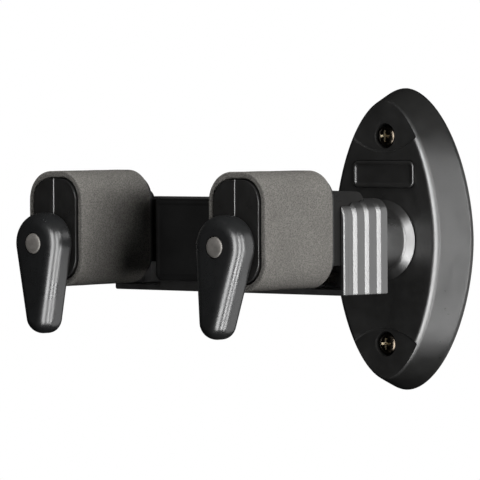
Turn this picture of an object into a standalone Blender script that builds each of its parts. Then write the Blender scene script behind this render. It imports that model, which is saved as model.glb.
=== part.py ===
"""Wall guitar hanger with a swivelling yoke and a weight-operated neck lock.

The wall is the plane Y = 0 and the hanger stands out of it towards -Y. +Z is up and +X is to the right of
someone facing the wall. The origin is the middle of the back face of the wall plate. Dimensions are in
millimetres, turned into metres where geometry is made. "out" is the distance from the wall: Y = -out.
Spans are (low, high) pairs, and places are given as (x, out, z).
"""

import math

import bmesh
import bpy
from mathutils import Matrix, Vector

MM = 0.001
GAP = 0.3  # clearance between neighbouring pieces
SIDES = (("left", -1), ("right", 1))

# ---- shared by several sections ----
BOLT_R = 4.0
BOLT_CLEAR_R = BOLT_R + GAP  # bore of the washers and the nut on the swivel bolt
HEX_R = 6.35  # corner radius of the bolt head and the nut
STOP_R = 8.3  # radius at which the stop pin runs
HOUSING_BACK = 69.9
ROD_X, ROD_Z = 12, 0.6  # guide rods: distance from the middle, middle height
CARRIAGE_OUT = 82.95  # line of the crossbar, guide rods and springs
ARM_X = 36.0  # middle of each arm
CORE_FRONT = 125.4  # front end of the arms
PIN_Z = 1.75  # height of the finger shafts
SHAFT_R = 2.5
SHAFT_BORE_R = SHAFT_R + GAP
TRAVEL = 7.0  # how far the arms sink under load


# ==================================================================================================
# scene and materials
# ==================================================================================================
for old in list(bpy.data.objects):
    bpy.data.objects.remove(old, do_unlink=True)

scene = bpy.context.scene
parts = bpy.data.collections.new("wall_guitar_hanger")
cutters = bpy.data.collections.new("cutters")
scene.collection.children.link(parts)
scene.collection.children.link(cutters)


def material(name, colour, roughness, metallic=0.0):
    mat = bpy.data.materials.new(name)
    mat.use_nodes = True
    shader = mat.node_tree.nodes["Principled BSDF"]
    shader.inputs["Base Color"].default_value = (*colour, 1)
    shader.inputs["Roughness"].default_value = roughness
    shader.inputs["Metallic"].default_value = metallic
    return mat


BLACK = material("black_plastic", colour=(0.02, 0.02, 0.022), roughness=0.42)
GREY = material("housing_plastic", colour=(0.05, 0.05, 0.052), roughness=0.4)
FOAM = material("foam_rubber", colour=(0.13, 0.13, 0.125), roughness=0.9)
RUBBER = material("pad_rubber", colour=(0.015, 0.015, 0.015), roughness=0.7)
STEEL = material("brushed_steel", colour=(0.45, 0.43, 0.42), roughness=0.35, metallic=1.0)
DARK_STEEL = material("dark_steel", colour=(0.1, 0.085, 0.07), roughness=0.35, metallic=1.0)
SPRING = material("spring_steel", colour=(0.5, 0.5, 0.52), roughness=0.3, metallic=1.0)
BRASS = material("brass", colour=(0.6, 0.42, 0.16), roughness=0.35, metallic=1.0)
NYLON = material("nylon", colour=(0.75, 0.74, 0.68), roughness=0.5)


# ==================================================================================================
# solids
# ==================================================================================================
TURN = {  # turns a shape made along local Z
    "out": Matrix.Rotation(math.pi / 2, 4, "X"),
    "x": Matrix.Rotation(math.pi / 2, 4, "Y"),
    "z": Matrix.Identity(4),
}
FRONT_PLANE = TURN["out"]  # outline in (x, z), thickness out of the wall
SIDE_PLANE = Matrix(((0, 0, -1, 0), (-1, 0, 0, 0), (0, 1, 0, 0), (0, 0, 0, 1)))  # outline in (out, z)


def point(x, out, z):
    return Vector((x, -out, z)) * MM


def at(x, out, z):
    return Matrix.Translation(point(x, out, z))


def placed(name, data, matrix=None):
    obj = bpy.data.objects.new(name, data)
    parts.objects.link(obj)
    if matrix is not None:
        obj.matrix_world = matrix
    return obj


def finished(name, body, mat, matrix=None, smooth=None):
    """An object from a bmesh. smooth is the angle in degrees above which edges stay sharp."""
    bmesh.ops.recalc_face_normals(body, faces=body.faces)
    mesh = bpy.data.meshes.new(name)
    body.to_mesh(mesh)
    body.free()
    if smooth:
        mesh.shade_smooth()
        mesh.set_sharp_from_angle(angle=math.radians(smooth))
    mesh.materials.append(mat)
    return placed(name, mesh, matrix)


def box(name, x_span, out_span, z_span, mat=BLACK):
    spans = (x_span, out_span, z_span)
    body = bmesh.new()
    bmesh.ops.create_cube(body, size=1)
    size = Vector([abs(high - low) for low, high in spans]) * MM
    bmesh.ops.scale(body, vec=size, verts=body.verts)
    return finished(name, body, mat, at(*(sum(span) / 2 for span in spans)))


def cylinder(name, axis, centre, radius, length, mat=BLACK, segments=24):
    """A cylinder with its middle at centre, given as (x, out, z)."""
    body = bmesh.new()
    bmesh.ops.create_cone(
        body,
        cap_ends=True,
        segments=segments,
        radius1=radius * MM,
        radius2=radius * MM,
        depth=length * MM,
    )
    return finished(name, body, mat, at(*centre) @ TURN[axis], smooth=40)


def turned(name, profile, x, z, mat=BLACK, steps=20, ring=False):
    """A shape turned about an axis out of the wall at (x, z).

    profile is (radius, out), down the outer side from the front. ring closes it into a loop.
    """
    mesh = bpy.data.meshes.new(name)
    points = [(radius * MM, 0, out * MM) for radius, out in profile]
    edges = [(i, i + 1) for i in range(len(points) - 1)]
    if ring:
        edges.append((len(points) - 1, 0))
    mesh.from_pydata(points, edges, [])
    mesh.materials.append(mat)
    obj = placed(name, mesh, at(x, 0, z) @ TURN["out"])
    screw = obj.modifiers.new("turn", "SCREW")
    screw.axis = "Z"
    screw.angle = 2 * math.pi
    screw.steps = screw.render_steps = steps
    screw.use_merge_vertices = True
    screw.merge_threshold = 0.00001
    screw.use_smooth_shade = False
    return obj


def tube(name, inner_r, outer_r, out_span, x, z, mat):
    back, front = out_span
    profile = [(outer_r, front), (outer_r, back), (inner_r, back), (inner_r, front)]
    turned(name, profile, x, z, mat, ring=True)


def flat(name, loops, span, mat=BLACK, plane="front"):
    """An outline with holes, extruded over span: along out for "front", along x for "side"."""
    curve = bpy.data.curves.new(name, "CURVE")
    curve.dimensions = "2D"
    curve.fill_mode = "BOTH"
    curve.extrude = abs(span[1] - span[0]) / 2 * MM
    for loop in loops:
        spline = curve.splines.new("POLY")
        spline.points.add(len(loop) - 1)
        for spline_point, (across, up) in zip(spline.points, loop):
            spline_point.co = (across * MM, up * MM, 0, 1)
        spline.use_cyclic_u = True
    guide = bpy.data.objects.new(name + "_outline", curve)
    scene.collection.objects.link(guide)
    middle = sum(span) / 2
    if plane == "front":
        guide.matrix_world = at(0, middle, 0) @ FRONT_PLANE
    else:
        guide.matrix_world = at(middle, 0, 0) @ SIDE_PLANE
    bpy.context.view_layer.update()
    graph = bpy.context.evaluated_depsgraph_get()
    mesh = bpy.data.meshes.new_from_object(guide.evaluated_get(graph))
    matrix = guide.matrix_world.copy()
    bpy.data.objects.remove(guide)
    bpy.data.curves.remove(curve)
    body = bmesh.new()
    body.from_mesh(mesh)
    bpy.data.meshes.remove(mesh)
    bmesh.ops.remove_doubles(body, verts=body.verts, dist=0.000001)
    return finished(name, body, mat, matrix)


def loft(name, rings, mat=BLACK, smooth=30):
    """A closed body through rings of equal length, each a list of (x, out, z), with flat ends."""
    body = bmesh.new()
    loops = [[body.verts.new(point(*place)) for place in ring] for ring in rings]
    count = len(loops[0])
    for low, high in zip(loops, loops[1:]):
        for i in range(count):
            after = (i + 1) % count
            body.faces.new((low[i], low[after], high[after], high[i]))
    body.faces.new(loops[0])
    body.faces.new(loops[-1])
    return finished(name, body, mat, smooth=smooth)


def boolean(target, tool, operation):
    modifier = target.modifiers.new(tool.name, "BOOLEAN")
    modifier.operation = operation
    modifier.solver = "EXACT"
    modifier.object = tool
    parts.objects.unlink(tool)
    cutters.objects.link(tool)
    tool.hide_render = True
    tool.display_type = "WIRE"


def cut(target, *tools):
    for tool in tools:
        boolean(target, tool, "DIFFERENCE")


def join(target, *tools):
    for tool in tools:
        boolean(target, tool, "UNION")


# ==================================================================================================
# outlines
# ==================================================================================================
def circle(x, z, radius, count=24):
    angles = [2 * math.pi * i / count for i in range(count)]
    return [(x + radius * math.cos(angle), z + radius * math.sin(angle)) for angle in angles]


def rounded(x0, x1, z0, z1, radii, steps=6):
    """A rectangle with corner radii in the order lower right, upper right, upper left, lower left."""
    # corner x and z, directions from there to the arc's centre, angle at which the arc starts
    corners = ((x1, z0, -1, 1, 270), (x1, z1, -1, -1, 0), (x0, z1, 1, -1, 90), (x0, z0, 1, 1, 180))
    points = []
    for (corner_x, corner_z, way_x, way_z, start), radius in zip(corners, radii):
        for k in range(steps + 1):
            angle = math.radians(start + 90 * k / steps)
            points.append(
                (
                    corner_x + way_x * radius + radius * math.cos(angle),
                    corner_z + way_z * radius + radius * math.sin(angle),
                )
            )
    return points


def arm_outline(x, shape, steps=6):
    """An upright rounded section. shape is (half width, half height, corner radius)."""
    width, height, radius = shape
    return rounded(x - width, x + width, ARM_Z - height, ARM_Z + height, (radius,) * 4, steps)


# ==================================================================================================
# wall plate
# ==================================================================================================
PLATE_EXP = 1.82  # exponent of the oval: 2 is an ellipse, less is slimmer at the shoulders
PLATE_BACK = (26.9, 48.2)  # half width and half height at the wall
PLATE_FRONT = (20.7, 44.1)  # the same at the front ridge
BAND_OUT = 11.6  # raised middle band of the front face
LENS_OUT = 11.0  # lower lens-shaped areas round the two wall screws
LENS_R, LENS_Z = 20.3, 48.4  # radius and centre height of the arcs between band and lenses
PLATE_WALL_OUT = 8.2  # inside of the front wall
BACK_PLATE_T = 2.0
BACK_PLATE_HALF = (23.4, 44.8)
POST_OUT, POST_LENGTH = 5.75, 6.7  # middle and length of the hub and screw bosses
HUB_R, BOSS_R = 13.5, 5.2
SCREW_Z = 33.0  # wall screws, above and below the middle
SCREW_HOLE_R = 2.7
LEVELS = (("upper", 1), ("lower", -1))
BADGE = (12.2, 16.7, 25.1)  # half width, bottom, top of the blank nameplate

# turned profiles: (radius, out)
WALL_SCREW_HOLE = [(0, 13), (4.0, 13), (4.0, 8.6), (SCREW_HOLE_R, 8.6), (SCREW_HOLE_R, 1), (0, 1)]
SWIVEL_BORE = [
    (0, 13), (9.3, 13), (9.3, 9.2), (4.4, 9.2),
    (4.4, 7.2), (7.2, 7.2), (7.2, 1), (0, 1),
]
WALL_SCREW = [
    (0, 10.9), (1.6, 10.85), (2.7, 10.55), (3.35, 10.0), (3.55, 9.5),
    (3.55, 8.95), (2.0, 8.95), (2.0, -9.0), (0, -13.0),
]


def oval(half_width, half_height, count=60):
    """Points of a superellipse."""
    points = []
    for i in range(count):
        angle = 2 * math.pi * i / count
        cosine, sine = math.cos(angle), math.sin(angle)
        scale = (abs(cosine) ** PLATE_EXP + abs(sine) ** PLATE_EXP) ** (-1 / PLATE_EXP)
        points.append((half_width * cosine * scale, half_height * sine * scale))
    return points


def plate_ring(out, half_width, half_height):
    return [(x, out, z) for x, z in oval(half_width, half_height)]


def badge_outline(inset, radius, steps):
    half, bottom, top = BADGE
    return rounded(-half + inset, half - inset, bottom + inset, top - inset, (radius,) * 4, steps)


def wall_plate_cover():
    back_x, back_z = PLATE_BACK
    front_x, front_z = PLATE_FRONT
    cover = loft(
        "wall_plate_cover",
        [
            plate_ring(0, back_x, back_z),
            plate_ring(1.2, back_x - 0.1, back_z - 0.1),
            plate_ring(10.2, front_x + 0.6, front_z + 0.45),
            plate_ring(11.2, front_x, front_z),
            plate_ring(BAND_OUT, front_x - 0.7, front_z - 0.6),
        ],
    )
    cavity_rings = [
        plate_ring(-1, back_x - 2.0, back_z - 2.0),
        plate_ring(1.2, back_x - 2.5, back_z - 2.5),
        plate_ring(PLATE_WALL_OUT, 20.0, 42.9),
    ]
    cut(cover, loft("plate_cavity", cavity_rings))
    join(cover, cylinder("swivel_hub", "out", (0, POST_OUT, 0), HUB_R, POST_LENGTH, segments=32))
    for tag, side in LEVELS:
        z = side * SCREW_Z
        join(cover, cylinder(f"screw_boss_{tag}", "out", (0, POST_OUT, z), BOSS_R, POST_LENGTH))
        lens_centre = (0, LENS_OUT + 1, side * LENS_Z)
        cut(
            cover,
            cylinder(f"lens_{tag}", "out", lens_centre, LENS_R, 2, segments=72),
            turned(f"wall_screw_hole_{tag}", WALL_SCREW_HOLE, 0, z),
        )
    cut(
        cover,
        turned("swivel_bore", SWIVEL_BORE, 0, 0, steps=32),
        flat("nameplate_pocket", [badge_outline(-GAP, 1.6, 4)], (11.0, 13.0)),
    )


def back_plate():
    holes = [circle(0, side * SCREW_Z, SCREW_HOLE_R, 20) for _, side in LEVELS]
    flat("back_plate", [oval(*BACK_PLATE_HALF, 40), *holes], (0, BACK_PLATE_T), STEEL)


def nameplate():
    """A raised panel inside a thin raised frame."""
    plate = flat("nameplate_blank", [badge_outline(0, 1.3, 4)], (11.3, 12.2))
    groove = [badge_outline(0.7, 0.8, 3), badge_outline(1.6, 0.4, 3)]
    cut(plate, flat("nameplate_groove", groove, (11.8, 12.5)))


def wall_screw(tag, z):
    """A domed screw with a cross recess, its point going into the wall."""
    half_length, half_width = 2.1, 0.45
    long_z = (z - half_length, z + half_length)
    short_z = (z - half_width, z + half_width)
    cut(
        turned(f"wall_screw_{tag}", WALL_SCREW, 0, z, DARK_STEEL),
        box(f"recess_{tag}_a", (-half_width, half_width), (9.6, 11.5), long_z),
        box(f"recess_{tag}_b", (-half_length, half_length), (9.65, 11.6), short_z),
    )


wall_plate_cover()
back_plate()
nameplate()
for tag, side in LEVELS:
    wall_screw(tag, side * SCREW_Z)


# ==================================================================================================
# swivel
# ==================================================================================================
NECK_R, NECK_FLARE_R = 10.3, 12.8
NECK_BORE_R = 4.4
NECK_END = 68.5
NECK = [
    (NECK_R, NECK_END), (NECK_R, 14.2), (NECK_FLARE_R, 11.9), (9.0, 11.9),
    (9.0, 9.5), (NECK_BORE_R, 9.5), (NECK_BORE_R, NECK_END),
]
BOLT = [(0, 80.2), (3.5, 80.2), (BOLT_R, 79.7), (BOLT_R, 6.0), (0, 6.0)]

neck = turned("swivel_neck", NECK, 0, 0, steps=32, ring=True)
cut(neck, cylinder("stop_pin_hole", "out", (0, 67, STOP_R), 1.45, 7, segments=16))

bolt = turned("swivel_bolt", BOLT, 0, 0, STEEL, steps=24)
join(bolt, cylinder("swivel_bolt_head", "out", (0, 4.75, 0), HEX_R, 4.3, segments=6))

tube("thrust_washer", BOLT_CLEAR_R, 6.4, (68.8, 69.6), 0, 0, NYLON)
tube("inner_washer", BOLT_CLEAR_R, 7.9, (73.2, 74.2), 0, 0, STEEL)
flat("swivel_lock_nut", [circle(0, 0, HEX_R, 6), circle(0, 0, BOLT_CLEAR_R)], (74.5, 79.5), STEEL)
cylinder("swivel_stop_pin", "out", (0, 68.45, STOP_R), 1.15, 8.3, STEEL, segments=16)


# ==================================================================================================
# housing
# ==================================================================================================
HOUSING_X = (48.15, 47.4, 46.65, 45.9)  # half widths of the four layers, wall side first
HOUSING_OUT = (74.5, 79.2, 83.8, 85.8)  # where each layer ends, going away from the wall
HOUSING_Z = (-13.8, 14.7)
HOUSING_RADII = (0.6, 4.5, 4.5, 0.6)  # corners, lower right first and anticlockwise
HOUSING_INNER = HOUSING_BACK + 3.0  # inside of the rear wall
COVER_OUT = (86.1, 87.9)
SLOT_HALF = 8.7  # half width of the open-topped slot that each arm slides in
SLOT_FLOOR = -12.1
POST_X, POST_Z = 20, -7.5  # screw posts in the housing
POST_HOLE_R = 1.8
SWIVEL_LIMIT = 30.0  # degrees each way
STOP_SLOT_EXTRA = 11  # degrees added at each end of the stop slot
STOP_SLOT_HALF = 1.6  # half width of the stop slot

# turned profiles: (radius, out)
HOUSING_SCREW_HOLE = [
    (0, 90), (POST_HOLE_R, 90), (POST_HOLE_R, 71.4), (3.2, 71.4), (3.2, 68), (0, 68),
]
HOUSING_SCREW = [
    (0, 87.6), (1.5, 87.6), (1.5, 71.1), (2.9, 71.1), (2.9, 70.2), (2.4, 69.95), (0, 69.95),
]

SPRING_WIRE_R, SPRING_R, SPRING_TURNS = 0.2, 2.3, 5.5  # the two give about 950 N/m together
SPRING_Z = (-11.0, 5.0)
SPRING_POINTS = 9  # points in each turn


def layer_outline(half, sink=0.0):
    return rounded(-half, half, HOUSING_Z[0] + sink, HOUSING_Z[1] - sink, HOUSING_RADII)


def arm_slot(name, side, out_span):
    x_span = (side * (ARM_X - SLOT_HALF), side * (ARM_X + SLOT_HALF))
    return box(name, x_span, out_span, (SLOT_FLOOR, 20))


def stop_slot_outline(count=14):
    """An arc-shaped slot centred above the swivel axis."""
    half = SWIVEL_LIMIT + STOP_SLOT_EXTRA
    inner, outer = STOP_R - STOP_SLOT_HALF, STOP_R + STOP_SLOT_HALF
    angles = [math.radians(90 - half + 2 * half * k / count) for k in range(count + 1)]
    points = [(outer * math.cos(angle), outer * math.sin(angle)) for angle in angles]
    return points + [(inner * math.cos(angle), inner * math.sin(angle)) for angle in reversed(angles)]


def housing_body():
    """Four layers stepping in away from the wall, hollowed for the carriage and gears."""
    first_span = (HOUSING_BACK, HOUSING_OUT[0])
    housing = flat("housing_body", [layer_outline(HOUSING_X[0])], first_span, GREY)
    for i in (1, 2, 3):
        outline = layer_outline(HOUSING_X[i], 0.03 * i)
        span = (HOUSING_BACK + 0.5 * i, HOUSING_OUT[i])
        join(housing, flat(f"housing_layer_{i}", [outline], span))
    cut(housing, box("centre_cavity", (-27.5, 27.5), (HOUSING_INNER, 90), (-11.5, 13.3)))
    for tag, side in SIDES:
        pocket = ((side * 26.3, side * 44.0), (HOUSING_INNER + 0.1, 77.5), (SLOT_FLOOR + 0.05, 10))
        cut(
            housing,
            arm_slot(f"arm_slot_{tag}", side, (76.6, 90)),
            box(f"gear_pocket_{tag}", *pocket),
        )
    for tag, side in SIDES:
        x = side * POST_X
        rod_centre = (side * ROD_X, CARRIAGE_OUT, ROD_Z)
        post_centre = (x, 79.05, POST_Z)
        join(housing, cylinder(f"screw_post_{tag}", "out", post_centre, 2.8, 13.3, segments=20))
        cut(
            housing,
            turned(f"housing_screw_hole_{tag}", HOUSING_SCREW_HOLE, x, POST_Z),
            cylinder(f"rod_socket_{tag}", "z", rod_centre, 1.8, 26.8, segments=16),
        )
    cut(
        housing,
        cylinder("swivel_hole", "out", (0, 71, 0), 4.45, 6, segments=32),
        flat("stop_slot", [stop_slot_outline()], (69, 74)),
    )


def front_cover():
    cover = flat("front_cover", [layer_outline(HOUSING_X[3], 0.09)], COVER_OUT, GREY)
    for tag, side in SIDES:
        centre = (side * POST_X, 87, POST_Z)
        cut(
            cover,
            arm_slot(f"cover_slot_{tag}", side, (84, 90)),
            cylinder(f"cover_screw_hole_{tag}", "out", centre, POST_HOLE_R, 4, segments=20),
        )


def return_spring(tag, side):
    """Coiled round a guide rod, under the crossbar."""
    curve = bpy.data.curves.new(f"return_spring_{tag}", "CURVE")
    curve.dimensions = "3D"
    curve.bevel_depth = SPRING_WIRE_R * MM
    curve.bevel_resolution = 1
    curve.use_fill_caps = True
    spline = curve.splines.new("POLY")
    total = int(SPRING_TURNS * SPRING_POINTS)
    spline.points.add(total)
    low, high = SPRING_Z
    for k in range(total + 1):
        angle = k / SPRING_POINTS * 2 * math.pi
        x, y = SPRING_R * math.cos(angle), SPRING_R * math.sin(angle)
        z = low + (high - low) * k / total
        spline.points[k].co = (x * MM, y * MM, z * MM, 1)
    curve.materials.append(SPRING)
    placed(f"return_spring_{tag}", curve).location = point(side * ROD_X, CARRIAGE_OUT, 0)


housing_body()
front_cover()
pad_outline = rounded(-27.0, 27.0, -10.7, 14.4, (2.5, 0.8, 0.8, 2.5), 4)
flat("cradle_pad", [pad_outline], (88.2, 90.4), RUBBER)
for tag, side in SIDES:
    turned(f"housing_screw_{tag}", HOUSING_SCREW, side * POST_X, POST_Z, DARK_STEEL, steps=16)
    rod_centre = (side * ROD_X, CARRIAGE_OUT, ROD_Z)
    cylinder(f"guide_rod_{tag}", "z", rod_centre, 1.5, 26.2, STEEL, segments=16)
    return_spring(tag, side)


# ==================================================================================================
# carriage: crossbar, two split arms, their sleeves, bushes and screws
# ==================================================================================================
ARM_Z = 5.95  # middle height of the sleeves
# arm sections: half width, half height, corner radius
CORE = (8.65, 15.1, 6.6)
SHOULDER = (9.5, 15.9, 7.4)
SLEEVE = (11.0, 17.45, 8.8)
SLEEVE_OUT = (94.1, 124.9)
ROOT_HALF, ROOT_Z = 8.4, (-4.8, 17.4)
ROOT_INNER_TOP, ROOT_STEP_X = 14.3, 39.0  # the root is lower on the inner side of this line
ROOT_BACK, ROOT_FRONT = 76.8, 92.3
ROOT_CORNER_R = 3.4  # upper corner of the root on the wall side
ARM_SCREW_OUT = 108
ARM_SCREW_Z = (("high", 14.0), ("low", -4.9))
BUSH_OUT = (("front", (119.6, 124.2)), ("rear", (77.1, 80.2)))


def crossbar():
    bar = box("carriage_crossbar", (-43, 43), (80.8, 85.1), (5.5, 12.5), STEEL)
    for tag, side in SIDES:
        centre = (side * ROD_X, CARRIAGE_OUT, 9)
        cut(bar, cylinder(f"crossbar_hole_{tag}", "z", centre, 1.85, 12, segments=16))


def root_outline():
    """Side view of the arm's root, in (out, z)."""
    bottom, top = ROOT_Z
    corner_out = ROOT_BACK + ROOT_CORNER_R
    points = [(ROOT_BACK, bottom), (ROOT_FRONT, bottom), (ROOT_FRONT, top), (corner_out, top - 0.5)]
    for degrees in (105, 125, 145, 165, 180):
        angle = math.radians(degrees)
        points.append(
            (
                corner_out + ROOT_CORNER_R * math.cos(angle),
                top - 3.9 + ROOT_CORNER_R * math.sin(angle),
            )
        )
    return points


def arm_half(tag, side, half, way):
    """One half of an arm, split upright along its middle. way is the side of the arm that is kept."""
    x = side * ARM_X
    name = f"{tag}_arm_{half}_half"
    arm = flat(name, [arm_outline(x, CORE)], (93.6, CORE_FRONT))
    root_span = (x - ROOT_HALF, x + ROOT_HALF)
    join(
        arm,
        flat(f"{name}_shoulder", [arm_outline(x, SHOULDER)], (91.8, 93.8)),
        flat(f"{name}_root", [root_outline()], root_span, plane="side"),
    )
    tongue_x = (x - side * 12, x + side * 7.3)
    step_x = (side * 20, side * ROOT_STEP_X)
    cut(
        arm,
        cylinder(f"{name}_shaft_channel", "out", (x, 101, PIN_Z), 4.5, 52, segments=20),
        box(f"{name}_tongue_pocket", tongue_x, (80.5, 85.4), (5.2, 12.8)),
        box(f"{name}_root_step", step_x, (70, 91.7), (ROOT_INNER_TOP, 20)),
    )
    for level, z in ARM_SCREW_Z:
        hole = (x + side * 0.6, ARM_SCREW_OUT, z)
        cut(arm, cylinder(f"{name}_screw_{level}", "x", hole, 1.4, 15.0, segments=14))
        if half == "outer":
            head = (x + side * 7.9, ARM_SCREW_OUT, z)
            cut(arm, cylinder(f"{name}_screw_head_{level}", "x", head, 2.5, 6, segments=16))
    beyond = (x - way * 20, x + way * GAP / 2)
    cut(arm, box(f"{name}_parting", beyond, (70, 130), (-20, 30)))


def foam_sleeve(tag, x):
    bore = arm_outline(x, [size + GAP for size in CORE])
    flat(f"foam_sleeve_{tag}", [arm_outline(x, SLEEVE, 7), bore], SLEEVE_OUT, FOAM)


def arm_screw(tag, side, level, z):
    """A screw across the two halves, with its head on the outer side."""
    x = side * ARM_X
    shank = (x - side * 0.2, ARM_SCREW_OUT, z)
    head = (x + side * 5.9, ARM_SCREW_OUT, z)
    screw = cylinder(f"{tag}_arm_screw_{level}", "x", shank, 1.1, 12.6, STEEL, segments=14)
    join(screw, cylinder(f"{tag}_arm_screw_head_{level}", "x", head, 2.1, 1.4, segments=16))


crossbar()
for tag, side in SIDES:
    arm_half(tag, side, "outer", side)
    arm_half(tag, side, "inner", -side)
    foam_sleeve(tag, side * ARM_X)
    for where, span in BUSH_OUT:
        tube(f"{tag}_shaft_bush_{where}", SHAFT_BORE_R, 4.2, span, side * ARM_X, PIN_Z, BRASS)
    for level, z in ARM_SCREW_Z:
        arm_screw(tag, side, level, z)


# ==================================================================================================
# locking fingers: shaft, pinion, clip and finger on each side; racks fixed in the housing
# ==================================================================================================
PIN_R = 3.1  # wider front end of the shaft
FINGER_BACK, FINGER_FRONT = 126.8, 135.0
FINGER_TOP_R, FINGER_TIP_R, FINGER_LEN = 9.15, 5.1, 22.0
FINGER_HALF_STEPS = 16
REST_TILT = {"left": 0.0, "right": 7.5}  # degrees that each finger leans inwards when unloaded
PITCH = 2.8  # tooth pitch of the racks
PRESSURE = math.radians(25)  # pressure angle of the teeth
RACK_OUT = (73.3, 76.3)
GEAR_OUT = (73.4, 76.4)
PINION_TEETH = range(-2, 6)  # tooth numbers; number 0 points at the rack
PINION_TOOTH = 1.15  # tooth width at the pitch circle
PINION_ROOT, PINION_TIP = 0.95, 0.65  # tooth depth below and height above the pitch circle
RACK_ROOT, RACK_TIP = -0.85, 0.6  # rack tooth heights from the pitch line

# rounding of the finger: (out, inset of the outline)
FINGER_STATIONS = (
    (FINGER_BACK, 1.5),
    (FINGER_BACK + 0.9, 0.35),
    (FINGER_BACK + 2.1, 0.0),
    (FINGER_FRONT - 4.5, 0.0),
    (FINGER_FRONT - 2.5, 0.4),
    (FINGER_FRONT - 0.8, 1.7),
    (FINGER_FRONT, 3.8),
)
# turned profiles: (radius, out)
FINGER_SHAFT = [
    (0, 135.3), (1.7, 135.2), (2.6, 134.95), (PIN_R, 134.4), (PIN_R, 131.2),
    (SHAFT_R, 131.2), (SHAFT_R, 77.0), (2.0, 77.0), (2.0, 73.4), (0, 73.4),
]
FINGER_BORE = [
    (0, 137), (PIN_R + GAP, 137), (PIN_R + GAP, 130.9),
    (SHAFT_BORE_R, 130.9), (SHAFT_BORE_R, 124), (0, 124),
]


def involute(angle):
    return math.tan(angle) - angle


def pinion_outline(x, pitch_r, toward):
    """A gear sector that rolls down a rack lying on the side given by toward (-1 is -X)."""
    base = pitch_r * math.cos(PRESSURE)
    root = pitch_r - PINION_ROOT
    radii = [root, base, pitch_r, pitch_r + PINION_TIP]
    pitch_angle = PITCH / pitch_r

    def half_angle(radius):
        flank = math.acos(min(1.0, base / max(radius, base)))
        return PINION_TOOTH / 2 / pitch_r + involute(PRESSURE) - involute(flank)

    polar = []
    for k in PINION_TEETH:
        middle = math.pi + k * pitch_angle
        polar += [(radius, middle - half_angle(radius)) for radius in radii]
        polar += [(radius, middle + half_angle(radius)) for radius in reversed(radii)]
        if k < PINION_TEETH[-1]:
            polar.append((root, middle + pitch_angle / 2))
    # plain arc over the side without teeth
    start, end = polar[-1][1], polar[0][1] + 2 * math.pi
    polar += [(root, start + (end - start) * k / 8) for k in range(1, 8)]
    return [
        (x - toward * radius * math.cos(angle), PIN_Z + radius * math.sin(angle))
        for radius, angle in polar
    ]


def rack_outline(pitch_x, toward):
    """A straight rack with teeth facing away from toward, and a gap at the height of the shaft."""
    points = []
    for k in range(-4, 2):
        middle = PIN_Z + (k + 0.5) * PITCH
        for height, sign in ((RACK_ROOT, -1), (RACK_TIP, -1), (RACK_TIP, 1), (RACK_ROOT, 1)):
            half = 0.6 - height * math.tan(PRESSURE)
            points.append((pitch_x - toward * height, middle + sign * half))
    back = pitch_x + toward * 3.2
    front = pitch_x - toward * RACK_ROOT
    top, bottom = PIN_Z + 6.4, PIN_Z - 12.4
    return [(back, bottom), (front, bottom)] + points + [(front, top), (back, top)]


def finger_outline(x, tilt, inset):
    """The hull of a large circle at the shaft and a small one at the tip, drawn in by inset."""
    big, small = FINGER_TOP_R - inset, FINGER_TIP_R - inset
    lean = math.asin((FINGER_TOP_R - FINGER_TIP_R) / FINGER_LEN)
    half = FINGER_HALF_STEPS
    points = []
    for k in range(half + 1):  # over the top
        angle = -lean + (math.pi + 2 * lean) * k / half
        points.append((big * math.cos(angle), big * math.sin(angle)))
    for k in range(half - 1):  # round the tip
        angle = math.pi + lean + (math.pi - 2 * lean) * (k + 0.5) / (half - 1)
        points.append((small * math.cos(angle), small * math.sin(angle) - FINGER_LEN))
    cosine, sine = math.cos(tilt), math.sin(tilt)
    return [
        (x + across * cosine - up * sine, PIN_Z + across * sine + up * cosine)
        for across, up in points
    ]


def rack_and_pinion(tag, side):
    """The pinion is sized so that the carriage's travel swings the finger level."""
    x = side * ARM_X
    pitch_r = TRAVEL / math.radians(90 - REST_TILT[tag])
    toward = -side  # the rack is on the inner side of its pinion
    flat(f"{tag}_rack", [rack_outline(x + toward * pitch_r, toward)], RACK_OUT, STEEL)
    loops = [pinion_outline(x, pitch_r, toward), circle(x, PIN_Z, 2.3, 14)]
    flat(f"{tag}_pinion", loops, GEAR_OUT, BRASS)


def finger(tag, side):
    x = side * ARM_X
    tilt = -side * math.radians(REST_TILT[tag])
    rings = [
        [(ring_x, out, ring_z) for ring_x, ring_z in finger_outline(x, tilt, inset)]
        for out, inset in FINGER_STATIONS
    ]
    body = loft(f"{tag}_finger", rings, smooth=50)
    # the boss runs close to the arm's end
    boss_centre = (x, FINGER_BACK - 0.35, PIN_Z)
    join(body, cylinder(f"{tag}_finger_boss", "out", boss_centre, 4.6, 1.3))
    cut(body, turned(f"{tag}_finger_bore", FINGER_BORE, x, PIN_Z, steps=24))


for tag, side in SIDES:
    rack_and_pinion(tag, side)
    turned(f"{tag}_finger_shaft", FINGER_SHAFT, side * ARM_X, PIN_Z, STEEL)
    tube(f"{tag}_shaft_clip", SHAFT_BORE_R, 4.0, (118.3, 119.2), side * ARM_X, PIN_Z, SPRING)
    finger(tag, side)


# ==================================================================================================
# the moving bodies hang from empties on their joints' axes
# ==================================================================================================
HOUSING_PIECES = (
    "housing_", "front_cover", "cradle_pad", "guide_rod_", "return_spring_", "left_rack", "right_rack",
)
FINGER_PIECES = ("pinion", "finger_shaft", "shaft_clip", "finger")
WALL_PIECES = ("wall_", "back_plate", "nameplate", "swivel_", "thrust_", "inner_")


def hang(obj, parent):
    """Parents obj without moving it."""
    world = obj.matrix_world.copy()
    obj.parent = parent
    obj.matrix_parent_inverse = parent.matrix_world.inverted()
    obj.matrix_world = world


def carrier(name, place, parent=None):
    empty = placed(name, None)
    empty.empty_display_size = 0.01
    empty.location = point(*place)
    bpy.context.view_layer.update()
    if parent:
        hang(empty, parent)
    return empty


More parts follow.
